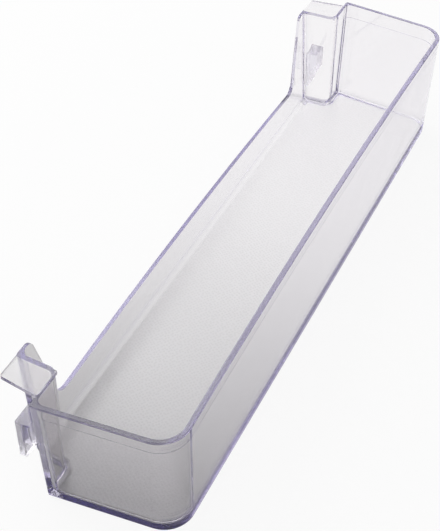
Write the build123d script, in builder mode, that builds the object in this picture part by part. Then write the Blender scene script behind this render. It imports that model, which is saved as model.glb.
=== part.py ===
import os

from build123d import *

os.makedirs("parts", exist_ok=True)

# Door shelf of a refrigerator, one clear moulding, in millimetres.
# X runs along the shelf, the tall front wall is at -Y, the low back wall at +Y.
length = 451.0          # rim length at the back of the end walls
depth = 106.8           # front rim to the top of the back plane
rim_height = 81.0       # front wall and end walls
crest_rise = 0.5        # tabs and caps above the rim
wall = 3.7              # front and end walls
notch_wall = 2.0        # notch walls, and the tabs at the crest
back_foot = 3.0         # back wall at its foot
floor_thickness = 3.0

# Lean of the walls from the underside up
end_draft = 4.3
front_draft = 1.8
back_draft = 4.0
end_taper = 7.4         # each end wall comes in toward the front
front_bow = 3.3         # the front rim bows inward at mid length

# Upright corners
front_radius = 18.0
end_radius = 2.0
inner_radius = 5.0

# Edges
foot_radius = 1.2
back_radius = 5.5       # outer edge under the back wall
floor_radius = 4.0
rim_radius = 0.7
ledge_drop = 10.0       # small step on the inner face, below the rim
ledge_step = 0.3

# Notches at the rear corners
notch_length = 26.1
notch_depth = 24.6
notch_skew = 1.1
notch_radius = 4.5

# Low back wall and the tabs at its ends
back_height = 23.6
back_crown = 4.4
tab_width = 12.0
tab_lean = 14.7
tab_corner = 5.5
tab_root = 10.0

# Cap plates over the notches
cap_width = 16.0
cap_skew = 3.5
cap_thickness = 2.6
cap_corner = 1.5
cap_inset = 0.4         # rear edge of the cap in from the back plane

# Hooks on the outer faces of the notch walls
hook_top = 44.6
hook_reach = 15.0
hook_setback = 2.1      # in from the back plane at hook height
hook_width = 9.6
hook_height = 16.0
leg_width = 4.6
leg_drop = 12.5
hook_edge = 0.8

trim = 2.0              # walls are drawn this much taller than the crest, then cut

crest = rim_height + crest_rise
blank_top = crest + trim
half_length = length / 2
jog_y = depth / 2 - notch_depth
notch_x = half_length - notch_length


def front_at(z):
    return -depth / 2 + front_draft * (1 - z / rim_height)


def rear_at(z):
    return depth / 2 - back_draft * (1 - z / crest)


def end_at(y, z):
    outer = half_length - end_draft * (1 - z / rim_height)
    return outer - end_taper * (jog_y - y) / (jog_y - front_at(z))


def notch_at(y):
    return notch_x - notch_skew * (y - jog_y) / notch_depth


def corners_at(sketch, x, y):
    """The pair of corners of a sketch at plus and minus x."""
    return [v for v in sketch.vertices() if abs(abs(v.X) - x) + abs(v.Y - y) < 0.01]


def outside(z):
    """Insets of the outer faces: front and ends, notch, back."""
    return 0, 0, 0


def inside(z):
    """Insets of the inner faces, with a back wall that thins out upward."""
    return wall, notch_wall, back_foot + (notch_wall - back_foot) * z / crest


def above_ledge(z):
    """Insets of the inner faces above the step."""
    ends, notch, back = inside(z)
    return ends - ledge_step, notch - ledge_step, back


def plan(z, insets, bow, radii):
    """Outline of the shelf at height z, moved in by the insets, with rounded upright corners."""
    end_inset, notch_inset, back_inset = insets
    front = front_at(z) + end_inset
    jog = jog_y - notch_inset
    rear = rear_at(z) - back_inset
    corner = (end_at(front, z) - end_inset, front)
    end = (end_at(jog, z) - end_inset, jog)
    nook = (notch_at(jog) - notch_inset, jog)
    heel = (notch_at(rear) - notch_inset, rear)
    side = (corner, end, nook, heel)
    with BuildSketch() as outline:
        with BuildLine():
            Polyline(*side, *((-x, y) for x, y in reversed(side)))
            if bow > 0:
                ThreePointArc((-corner[0], front), (0, front + bow), corner)
            else:
                Line((-corner[0], front), corner)
        make_face()
        for spot, radius in zip(side, radii):
            fillet(corners_at(outline, *spot), radius)
    return outline.sketch.moved(Location((0, 0, z)))


def tub(low, high, insets, bow_low, radii):
    """Drafted block between two heights, with the bow of the front wall at its top."""
    bottom = plan(low, insets(low), bow_low, radii)
    top = plan(high, insets(high), front_bow * high / rim_height, radii)
    return loft([bottom.face(), top.face()], ruled=True)


outer_radii = (front_radius, end_radius, notch_radius)
inner_radii = (front_radius - wall, inner_radius, notch_radius + notch_wall, inner_radius)

with BuildPart() as cavity:
    tub(floor_thickness, blank_top + trim, inside, 0, inner_radii)
    fillet(cavity.faces().sort_by(Axis.Z)[0].edges(), floor_radius)

with BuildPart() as ledge:
    step_z = rim_height - ledge_drop
    step_bow = front_bow * step_z / rim_height
    tub(step_z, blank_top + trim, above_ledge, step_bow, inner_radii)
    with Locations((0, jog_y - notch_wall, 0)):
        to_front = (Align.CENTER, Align.MAX, Align.CENTER)
        Box(2 * length, 2 * depth, 4 * crest, align=to_front, mode=Mode.INTERSECT)

with BuildPart() as shelf:
    tub(0, blank_top, outside, 0, outer_radii)
    fillet(shelf.faces().sort_by(Axis.Z)[0].edges().sort_by(Axis.Y)[-1], back_radius)
    fillet(shelf.faces().sort_by(Axis.Z)[0].edges().sort_by(Axis.Y)[:-1], foot_radius)
    add(cavity.part, mode=Mode.SUBTRACT)
    add(ledge.part, mode=Mode.SUBTRACT)

    # Front, end and jog walls stop at the rim
    with Locations((0, jog_y, rim_height)):
        above_rim = (Align.CENTER, Align.MAX, Align.MIN)
        Box(2 * length, 2 * depth, crest, align=above_rim, mode=Mode.SUBTRACT)

    flats = shelf.faces().filter_by(Axis.Z)
    rims = flats.filter_by_position(Axis.Z, rim_height - 0.01, rim_height + 0.01)
    fillet([e for e in rims.edges() if e.center().Y < jog_y - 0.1], rim_radius)

    # Tabs stop at the crest, and the back wall is cut down between them
    with BuildSketch(Plane.XZ.offset(-depth / 2 - trim)) as gap:
        with BuildLine():
            tab_top = (notch_at(depth / 2) - tab_width, crest)
            tab_foot = (tab_top[0] - tab_lean, back_height)
            over = blank_top + trim
            Polyline((0, over), (length, over), (length, crest), tab_top, tab_foot)
            crown = (0, back_height + back_crown)
            ThreePointArc(tab_foot, (tab_foot[0] / 2, back_height + 0.75 * back_crown), crown)
            mirror(about=Plane.YZ)
        make_face()
        fillet(corners_at(gap, *tab_top), tab_corner)
        fillet(corners_at(gap, *tab_foot), tab_root)
    extrude(amount=notch_depth + 2 * trim, mode=Mode.SUBTRACT)

    # Cap plates
    with BuildSketch(Plane.XY.offset(crest)) as cap:
        with BuildLine():
            cap_rear, cap_front = rear_at(crest) - cap_inset, jog_y - notch_wall / 2
            outer_rear = (notch_at(cap_rear) + cap_width, cap_rear)
            outer_front = (outer_rear[0] + cap_skew, cap_front)
            Polyline(
                (notch_at(cap_rear) - notch_wall / 2, cap_rear),
                outer_rear,
                outer_front,
                (notch_at(cap_front) - notch_wall / 2, cap_front),
                close=True,
            )
        make_face()
        fillet([v for v in cap.vertices() if v.X > notch_x + cap_width / 2], cap_corner)
        mirror(about=Plane.YZ)
    extrude(cap.sketch, amount=-cap_thickness)

    # Hooks: a broad bar with a narrower leg below its rear end
    with BuildPart(mode=Mode.PRIVATE) as hook:
        hook_rear = rear_at(hook_top) - hook_setback
        with BuildSketch(Plane.YZ.offset(notch_at(hook_rear) - notch_wall / 2)):
            with BuildLine():
                under = hook_top - hook_height
                Polyline(
                    (hook_rear, hook_top),
                    (hook_rear - hook_width, hook_top),
                    (hook_rear - hook_width, under),
                    (hook_rear - leg_width, under),
                    (hook_rear - leg_width, under - leg_drop),
                    (hook_rear, under - leg_drop),
                    close=True,
                )
            make_face()
        extrude(amount=hook_reach + notch_wall / 2)
        fillet(hook.faces().sort_by(Axis.X)[-1].edges(), hook_edge)
    add(hook.part)
    add(mirror(hook.part, about=Plane.YZ, mode=Mode.PRIVATE))

with BuildPart() as door_shelf:
    box = shelf.part.bounding_box()
    add(shelf.part.moved(Location((0, -box.center().Y, -box.min.Z))))

door_shelf.part.label = "door_shelf"
export_step(door_shelf.part, "parts/door_shelf.step")
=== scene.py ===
import bpy
from mathutils import Euler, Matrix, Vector

bl_info = {
    "name": "Door shelf",
    "version": (1, 0, 0),
    "blender": (4, 5, 0),
    "location": "3D View > Sidebar > Shelf",
    "description": "Finish, floor, light and camera for a clear moulded door shelf",
    "category": "Object",
}

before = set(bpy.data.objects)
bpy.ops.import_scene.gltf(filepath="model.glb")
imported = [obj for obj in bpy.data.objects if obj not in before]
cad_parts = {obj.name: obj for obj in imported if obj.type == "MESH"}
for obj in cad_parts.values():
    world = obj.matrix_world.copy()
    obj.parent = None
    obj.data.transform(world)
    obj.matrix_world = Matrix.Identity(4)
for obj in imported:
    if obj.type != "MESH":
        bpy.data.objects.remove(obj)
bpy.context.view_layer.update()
SHELF = "door_shelf"

# Lengths are in metres. The shelf is centred in x and y and stands on z = 0, with its front at -y.
# Zones at both rear corners: painted light on the hooks, painted shade on the heels, cap ends and notch
# feet. Each gives distance from mid length, start toward the back, bottom and top
HOOKS = (0.2, 0.034, -0.001, 0.046)
HEELS = (0.212, 0.018, -0.001, 0.007)
CAP_ENDS = (0.213, 0.0295, 0.0785, 0.083)
NOTCH_FEET = (0.188, 0.028, 0.003, 0.0055)

# Heights inside the tray floor, just above it, and at the top of the fillet round it
TRAY_LOW, FILLET_LOW, FILLET_TOP = 0.002, 0.0032, 0.0075

# Limits on the parts of a face's normal
FACING = 0.3             # faces that look up, to the front or to the back
LEVEL = 0.95             # tray floor
FLAT_SQUARED = 0.97      # flat faces across one axis
FILLET_SQUARED = 0.05    # floor fillets along the end walls
END_SQUARED = 0.5        # end faces
END_OUTWARD = 0.1        # end faces turned away from mid length, times their distance from it
FRONT_FADE = 1.5         # how soon the painted shade of the front lines fades in round the front corners

# Lines of painted shade along the outside of the front wall: bottom, top and strength
FRONT_PAINTED_SHADE = (
    (-0.001, 0.002, 0.4),
    (0.004, 0.010, 0.55),
    (0.0137, 0.015, 0.15),
    (0.0755, 0.0763, 0.2),
)

# Strength of the same painted shade at the rear corners
HEEL_PAINTED_SHADE, CAP_PAINTED_SHADE, NOTCH_PAINTED_SHADE = 0.7, 0.45, 0.35

# Painted light: share of the light that goes straight through the hooks' flat faces and the end fillets of
# the floor
HOOK_PAINTED_LIGHT, FILLET_PAINTED_LIGHT = 0.45, 0.5

# Grain of the tray floor: turn in radians, scatter, radius of a dot in cells and sharpness of its edge
GRAIN_TURN, GRAIN_SCATTER, DOT_RADIUS, DOT_EDGE = 0.6, 0.5, 0.42, 5

# Broad ripple of the moulded faces and cloudy smudges: waves for each metre, and layers
RIPPLE_SCALE, RIPPLE_DETAIL = 38.0, 1.0
SMUDGE_SCALE, SMUDGE_DETAIL = 14.0, 4.0

# Shade of the smudges and dots, and the body colour in full shade
SMUDGE_SHADE, DOT_SHADE, FULL_SHADE = 0.15, 0.85, 0.88

# Share of white in the floor as the camera sees it, and off mirror faces, and its painted shade at the
# near end
CAMERA_WHITE, MIRROR_WHITE, NEAR_PAINTED_SHADE = 0.9, 0.85, 0.95
FLOOR_GAP = 0.0005       # floor below the shelf's underside

# Soft boxes: width and height, place, and the point they face
KEY_BOX = ((1.6, 1.6), (0.35, 1.1, 1.1), (0.1, 0, 0))
FILL_BOX = ((1.2, 1.2), (-0.5, -1.2, 1.1), (0, 0, 0))

# Enough for clear walls behind each other
BOUNCES = 128

# Image size, focal length and optical centre in pixels, and the camera that was fitted to the photograph
IMAGE_WIDTH, IMAGE_HEIGHT = 440, 531
FOCAL_LENGTH = 1152.17
CENTRE_X, CENTRE_Y = 237.48, 263.77
SENSOR = 36              # millimetres
CAMERA_PLACE = (-0.52869, -0.22327, 0.53554)
CAMERA_TURN = (0.823193, -0.017327, -1.132529)


class Socket:
    """A value in a shader tree. Sums, products and comparisons of sockets add their own Math nodes."""

    def __init__(self, tree, link):
        self.tree = tree
        self.link = link

    @staticmethod
    def node(tree, kind, out=0, settings=None, **sockets):
        """Adds a node, sets it up, fills its sockets and gives back one of its outputs.

        A socket goes by its name, with _ for a space, or by its number as i0, i1 and so on.
        An output node has out=None.
        """
        made = tree.nodes.new(kind)
        for name, value in (settings or {}).items():
            setattr(made, name, value)
        for name, value in sockets.items():
            numbered = name[0] == "i" and name[1:].isdigit()
            entry = made.inputs[int(name[1:]) if numbered else name.replace("_", " ")]
            if isinstance(value, Socket):
                tree.links.new(value.link, entry)
            else:
                entry.default_value = value
        return None if out is None else Socket(tree, made.outputs[out])

    def _math(self, operation, first, second):
        return Socket.node(self.tree, "ShaderNodeMath", 0, {"operation": operation}, i0=first, i1=second)

    def __add__(self, other):
        return self._math("ADD", self, other)

    __radd__ = __add__

    def __sub__(self, other):
        return self._math("SUBTRACT", self, other)

    def __rsub__(self, other):
        return self._math("SUBTRACT", other, self)

    def __mul__(self, other):
        return self._math("MULTIPLY", self, other)

    __rmul__ = __mul__

    def __lt__(self, other):
        return self._math("LESS_THAN", self, other)

    def __gt__(self, other):
        return self._math("GREATER_THAN", self, other)

    def least(self, other):
        return self._math("MINIMUM", self, other)

    def most(self, other):
        return self._math("MAXIMUM", self, other)

    def between(self, low, high):
        return (self > low) * (self < high)

    def axes(self):
        """The x, y and z of a vector."""
        return [Socket.node(self.tree, "ShaderNodeSeparateXYZ", axis, i0=self) for axis in range(3)]


def new_material(name):
    """An empty material and its tree."""
    material = bpy.data.materials.new(name)
    material.use_nodes = True
    material.node_tree.nodes.clear()
    return material, material.node_tree


class ClearFinish(bpy.types.PropertyGroup):
    """Finish of the clear moulding."""

    body: bpy.props.FloatVectorProperty(
        name="Body colour", description="Light that one wall lets through",
        subtype="COLOR", size=3, min=0, max=1, default=(0.935, 0.922, 0.93),
    )
    edge: bpy.props.FloatVectorProperty(
        name="Edge colour", description="Tint that long ways through the plastic take on",
        subtype="COLOR", size=3, min=0, max=1, default=(0.45, 0.40, 0.66),
    )
    # Colour of the painted shade on the front lines and at the rear corners
    line: bpy.props.FloatVectorProperty(
        name="Line colour", description="Tint of the lines along the front wall and at the rear corners",
        subtype="COLOR", size=3, min=0, max=1, default=(0.42, 0.39, 0.52),
    )
    # Painted light: the hooks and end fillets let part of the light straight through in this colour
    clear: bpy.props.FloatVectorProperty(
        name="Clear colour", description="Light that goes straight through the hooks and the end fillets",
        subtype="COLOR", size=3, min=0, max=1, default=(0.91, 0.90, 0.93),
    )
    edge_depth: bpy.props.FloatProperty(
        name="Edge depth", description="Strength of the edge tint for each metre of plastic",
        min=0, max=200, default=11.5,
    )
    index: bpy.props.FloatProperty(
        name="Refractive index", description="Of clear polystyrene", min=1.3, max=1.8, default=1.59,
    )
    polish: bpy.props.FloatProperty(
        name="Roughness", description="Roughness of the polished walls", min=0, max=0.5, default=0.03,
    )
    tray_haze: bpy.props.FloatProperty(
        name="Floor haze", description="Roughness added on the tray floor and its fillets",
        min=0, max=0.5, default=0.25,
    )
    crest_haze: bpy.props.FloatProperty(
        name="Rim haze", description="Roughness added on rims and other upper faces",
        min=0, max=0.5, default=0.12,
    )
    smudge_haze: bpy.props.FloatProperty(
        name="Smudge haze", description="Roughness added by cloudy smudges", min=0, max=0.5, default=0.06,
    )
    grain_pitch: bpy.props.FloatProperty(
        name="Grain pitch", description="Distance between the dots of the floor grain",
        subtype="DISTANCE", unit="LENGTH", min=0.0005, max=0.01, default=0.0021,
    )
    grain_height: bpy.props.FloatProperty(
        name="Grain height", description="Height of the dots of the floor grain",
        subtype="DISTANCE", unit="LENGTH", min=0, max=0.001, default=0.00004,
    )
    ripple_height: bpy.props.FloatProperty(
        name="Ripple height", description="Height of the broad ripple of the moulded faces",
        subtype="DISTANCE", unit="LENGTH", min=0, max=0.001, default=0.00003,
    )


class StudioStage(bpy.types.PropertyGroup):
    """Floor, light and camera."""

    floor: bpy.props.FloatVectorProperty(
        name="Floor colour", description="Pale floor as it lights the shelf",
        subtype="COLOR", size=3, min=0, max=1, default=(0.60, 0.60, 0.60),
    )
    around: bpy.props.FloatVectorProperty(
        name="Background colour", description="Pale floor as the camera sees it round the shelf",
        subtype="COLOR", size=3, min=0, max=1, default=(0.95, 0.95, 0.95),
    )
    floor_size: bpy.props.FloatProperty(
        name="Floor size", description="Side of the square floor",
        subtype="DISTANCE", unit="LENGTH", min=1, max=40, default=12.0,
    )
    # Painted light: the floor behind the plastic brightens toward the far end over this length
    painted_light_sweep: bpy.props.FloatProperty(
        name="Sweep", description="Length over which the floor behind the plastic brightens",
        subtype="DISTANCE", unit="LENGTH", min=0.05, max=5, default=0.39,
    )
    # Painted light: the floor behind the plastic is brightest from here toward the far end
    painted_light_end: bpy.props.FloatProperty(
        name="Sweep end", description="Place toward the far end from which the floor is at its brightest",
        subtype="DISTANCE", unit="LENGTH", min=-5, max=5, default=0.19,
    )
    key_power: bpy.props.FloatProperty(
        name="Key light", description="Soft light behind the far end",
        subtype="POWER", min=0, max=200, default=16.0,
    )
    fill_power: bpy.props.FloatProperty(
        name="Fill light", description="Soft light in front",
        subtype="POWER", min=0, max=200, default=1.5,
    )
    sky: bpy.props.FloatProperty(
        name="Sky", description="Even light from all round", min=0, max=2, default=0.45,
    )
    lens: bpy.props.FloatProperty(
        name="Lens", description="Focal length", subtype="DISTANCE_CAMERA", unit="CAMERA",
        min=10, max=300, default=FOCAL_LENGTH / IMAGE_HEIGHT * SENSOR,
    )


def clear_plastic(finish):
    """Clear polished plastic, tinted along its edges, with a dotted grain on the tray floor, painted shade
    lines on the front wall and rear corners, and painted light on the hooks and end fillets.
    """
    material, tree = new_material("clear_plastic")
    place = Socket.node(tree, "ShaderNodeTexCoord", "Object")
    along, across, height = place.axes()
    lean, turn, up = Socket.node(tree, "ShaderNodeNewGeometry", "True Normal").axes()

    def rear_zone(end, side, bottom, top):
        return (along * along > end * end) * (across > side) * height.between(bottom, top)

    # Tray floor, the fillet round it, and upper faces
    tray = (up > LEVEL) * height.between(TRAY_LOW, FILLET_TOP)
    fillet = height.between(FILLET_LOW, FILLET_TOP) * up * up
    crest = (height > FILLET_TOP) * (up > FACING)

    # Faces painted lighter: they let part of the light straight through
    flat = (lean * lean).most(turn * turn).most(up * up) > FLAT_SQUARED
    hooks = rear_zone(*HOOKS) * flat
    end_fillets = fillet * (lean * lean > FILLET_SQUARED) * (up > 0)
    painted_light_share = hooks * HOOK_PAINTED_LIGHT + end_fillets * FILLET_PAINTED_LIGHT

    # Painted shade: dark tinted lines and edges
    front = ((-FACING - turn) * FRONT_FADE).most(0).least(1) * (across < 0)
    lines = front * sum(height.between(low, high) * strength for low, high, strength in FRONT_PAINTED_SHADE)
    outward = (along * lean > END_OUTWARD).most(turn > FACING)
    heels = rear_zone(*HEELS) * outward
    cap_ends = rear_zone(*CAP_ENDS) * (lean * lean > END_SQUARED)
    notch_feet = rear_zone(*NOTCH_FEET)
    painted_shade_mask = lines + heels * HEEL_PAINTED_SHADE + cap_ends * CAP_PAINTED_SHADE + notch_feet * NOTCH_PAINTED_SHADE

    # Dots of the floor grain, ripple and smudges
    turned = Socket.node(tree, "ShaderNodeMapping", 0, Vector=place, Rotation=(0, 0, GRAIN_TURN))
    cell = Socket.node(
        tree, "ShaderNodeTexVoronoi", 0, {"feature": "F1", "voronoi_dimensions": "2D"},
        Vector=turned, Scale=1 / finish.grain_pitch, Randomness=GRAIN_SCATTER,
    )
    dots = ((DOT_RADIUS - cell) * DOT_EDGE).most(0).least(1) * tray
    ripple = Socket.node(
        tree, "ShaderNodeTexNoise", 0, {"noise_dimensions": "3D"},
        Vector=place, Scale=RIPPLE_SCALE, Detail=RIPPLE_DETAIL,
    )
    smudge = Socket.node(
        tree, "ShaderNodeTexNoise", 0, {"noise_dimensions": "3D"},
        Vector=place, Scale=SMUDGE_SCALE, Detail=SMUDGE_DETAIL,
    )

    relief = dots * finish.grain_height + ripple * finish.ripple_height
    bump = Socket.node(tree, "ShaderNodeBump", 0, Strength=1.0, Distance=1.0, Height=relief)
    roughness = finish.polish + (smudge - 0.5).most(0) * finish.smudge_haze
    roughness = roughness + (tray + fillet).least(1) * finish.tray_haze + crest * finish.crest_haze
    shade = Socket.node(
        tree, "ShaderNodeMix", 2, {"data_type": "RGBA"},
        i0=smudge * SMUDGE_SHADE + dots * DOT_SHADE,
        i6=(*finish.body, 1), i7=(*(c * FULL_SHADE for c in finish.body), 1),
    )

    plastic = Socket.node(
        tree, "ShaderNodeBsdfPrincipled", 0,
        Base_Color=shade, Roughness=roughness, Normal=bump, IOR=finish.index, Transmission_Weight=1.0,
    )
    # Painted light on the hooks and end fillets
    clear = Socket.node(tree, "ShaderNodeBsdfTransparent", 0, Color=(*finish.clear, 1))
    body = Socket.node(tree, "ShaderNodeMixShader", 0, i0=painted_light_share, i1=plastic, i2=clear)
    # Painted shade on the front lines and rear corners
    painted_shade_bsdf = Socket.node(tree, "ShaderNodeBsdfTransparent", 0, Color=(*finish.line, 1))
    surface = Socket.node(tree, "ShaderNodeMixShader", 0, i0=painted_shade_mask.least(1), i1=body, i2=painted_shade_bsdf)
    inside = Socket.node(
        tree, "ShaderNodeVolumeAbsorption", 0, Color=(*finish.edge, 1), Density=finish.edge_depth,
    )
    Socket.node(tree, "ShaderNodeOutputMaterial", None, Surface=surface, Volume=inside)
    return material


class SHELF_OT_dress_body(bpy.types.Operator):
    """Gives the moulded shelf its clear finish"""

    bl_idname = "shelf.dress_body"
    bl_label = "Dress the shelf"

    def execute(self, context):
        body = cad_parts[SHELF]
        body.data.materials.clear()
        body.data.materials.append(clear_plastic(context.scene.shelf_finish))
        return {"FINISHED"}


def ray_kinds(tree):
    """Flags of the rays that come straight from the camera, off a mirror face or through clear plastic."""
    kinds = ("Is Camera Ray", "Is Glossy Ray", "Is Transmission Ray")
    return [Socket.node(tree, "ShaderNodeLightPath", kind) for kind in kinds]


def pale_floor_painted_sweep(stage):
    """Pale floor, near white round the shelf. Behind clear plastic it carries painted light, brighter
    toward the far end and darker toward the near end.
    """
    material, tree = new_material("pale_floor_painted_sweep")
    straight, mirrored, through = ray_kinds(tree)
    under = Socket.node(tree, "ShaderNodeBsdfDiffuse", 0, Color=(*stage.floor, 1))
    around = Socket.node(tree, "ShaderNodeBsdfDiffuse", 0, Color=(*stage.around, 1))
    lit = Socket.node(tree, "ShaderNodeMixShader", 0, i0=straight, i1=under, i2=around)
    white = Socket.node(tree, "ShaderNodeEmission", 0, Color=(1, 1, 1, 1), Strength=1.0)
    place = Socket.node(tree, "ShaderNodeNewGeometry", "Position")
    along = Socket.node(tree, "ShaderNodeSeparateXYZ", 0, i0=place)
    # Painted light: the white share behind the plastic and in mirror faces fades toward the near end
    painted_dimming = (stage.painted_light_end - along).most(0).least(stage.painted_light_sweep) * (1 / stage.painted_light_sweep)
    painted_light_sweep = 1 - painted_dimming * painted_dimming * NEAR_PAINTED_SHADE
    share = straight * CAMERA_WHITE + (mirrored * MIRROR_WHITE + through).least(1) * painted_light_sweep
    mixed = Socket.node(tree, "ShaderNodeMixShader", 0, i0=share, i1=lit, i2=white)
    Socket.node(tree, "ShaderNodeOutputMaterial", None, Surface=mixed)
    return material


def lay_floor(scene, stage):
    """A square floor just under the shelf."""
    half = stage.floor_size / 2
    corners = [(-half, -half, 0), (half, -half, 0), (half, half, 0), (-half, half, 0)]
    sheet = bpy.data.meshes.new("floor")
    sheet.from_pydata(corners, [], [(0, 1, 2, 3)])
    sheet.materials.append(pale_floor_painted_sweep(stage))
    floor = bpy.data.objects.new("floor", sheet)
    floor.location = (0, 0, -FLOOR_GAP)
    scene.collection.objects.link(floor)


def soft_light(scene, name, power, size, place, target):
    """A soft box of this width and height, turned to a point."""
    lamp = bpy.data.lights.new(name, "AREA")
    lamp.energy = power
    lamp.shape = "RECTANGLE"
    lamp.size, lamp.size_y = size
    holder = bpy.data.objects.new(name, lamp)
    holder.location = place
    holder.rotation_euler = (Vector(target) - Vector(place)).to_track_quat("-Z", "Y").to_euler()
    scene.collection.objects.link(holder)


def surround(scene, stage):
    """Even light from all round, which shows as white to the camera and in clear or mirror faces."""
    world = bpy.data.worlds.new("studio")
    world.use_nodes = True
    tree = world.node_tree
    tree.nodes.clear()
    straight, mirrored, through = ray_kinds(tree)
    unscattered = Socket.node(tree, "ShaderNodeLightPath", "Diffuse Depth") < 0.5
    seen = (straight + mirrored + through) * unscattered
    sky = Socket.node(tree, "ShaderNodeBackground", 0, Color=(1, 1, 1, 1), Strength=stage.sky)
    white = Socket.node(tree, "ShaderNodeBackground", 0, Color=(1, 1, 1, 1), Strength=1.0)
    mixed = Socket.node(tree, "ShaderNodeMixShader", 0, i0=seen, i1=sky, i2=white)
    Socket.node(tree, "ShaderNodeOutputWorld", None, Surface=mixed)
    scene.world = world


def place_camera(scene, stage):
    """The camera at the photograph's viewing angle."""
    lens = bpy.data.cameras.new("camera")
    lens.lens = stage.lens
    lens.sensor_width = SENSOR
    lens.shift_x = (IMAGE_WIDTH / 2 - CENTRE_X) / IMAGE_HEIGHT
    lens.shift_y = (CENTRE_Y - IMAGE_HEIGHT / 2) / IMAGE_HEIGHT
    camera = bpy.data.objects.new("camera", lens)
    camera.location = CAMERA_PLACE
    camera.rotation_euler = Euler(CAMERA_TURN, "XYZ")
    scene.collection.objects.link(camera)
    scene.camera = camera


class SHELF_OT_set_stage(bpy.types.Operator):
    """Adds the floor, the light and the camera"""

    bl_idname = "shelf.set_stage"
    bl_label = "Set the stage"

    def execute(self, context):
        scene = context.scene
        stage = scene.shelf_stage
        lay_floor(scene, stage)
        soft_light(scene, "key", stage.key_power, *KEY_BOX)
        soft_light(scene, "fill", stage.fill_power, *FILL_BOX)
        surround(scene, stage)
        scene.cycles.max_bounces = BOUNCES
        scene.cycles.glossy_bounces = BOUNCES
        scene.cycles.transmission_bounces = BOUNCES
        scene.view_settings.view_transform = "Standard"
        place_camera(scene, stage)
        return {"FINISHED"}


class SHELF_PT_panel(bpy.types.Panel):
    """Lists the steps and their settings"""

    bl_idname = "SHELF_PT_panel"
    bl_label = "Door shelf"
    bl_space_type = "VIEW_3D"
    bl_region_type = "UI"
    bl_category = "Shelf"

    def draw(self, context):
        for title, group, step in (
            ("Finish", context.scene.shelf_finish, SHELF_OT_dress_body),
            ("Stage", context.scene.shelf_stage, SHELF_OT_set_stage),
        ):
            box = self.layout.box()
            box.label(text=title)
            for name in group.__annotations__:
                box.prop(group, name)
            box.operator(step.bl_idname)


CLASSES = (ClearFinish, StudioStage, SHELF_OT_dress_body, SHELF_OT_set_stage, SHELF_PT_panel)


def register():
    for made in CLASSES:
        bpy.utils.register_class(made)
    bpy.types.Scene.shelf_finish = bpy.props.PointerProperty(type=ClearFinish)
    bpy.types.Scene.shelf_stage = bpy.props.PointerProperty(type=StudioStage)


def unregister():
    del bpy.types.Scene.shelf_stage
    del bpy.types.Scene.shelf_finish
    for made in reversed(CLASSES):
        bpy.utils.unregister_class(made)


def main():
    register()
    bpy.ops.shelf.dress_body()
    bpy.ops.shelf.set_stage()


if __name__ == "__main__":
    main()
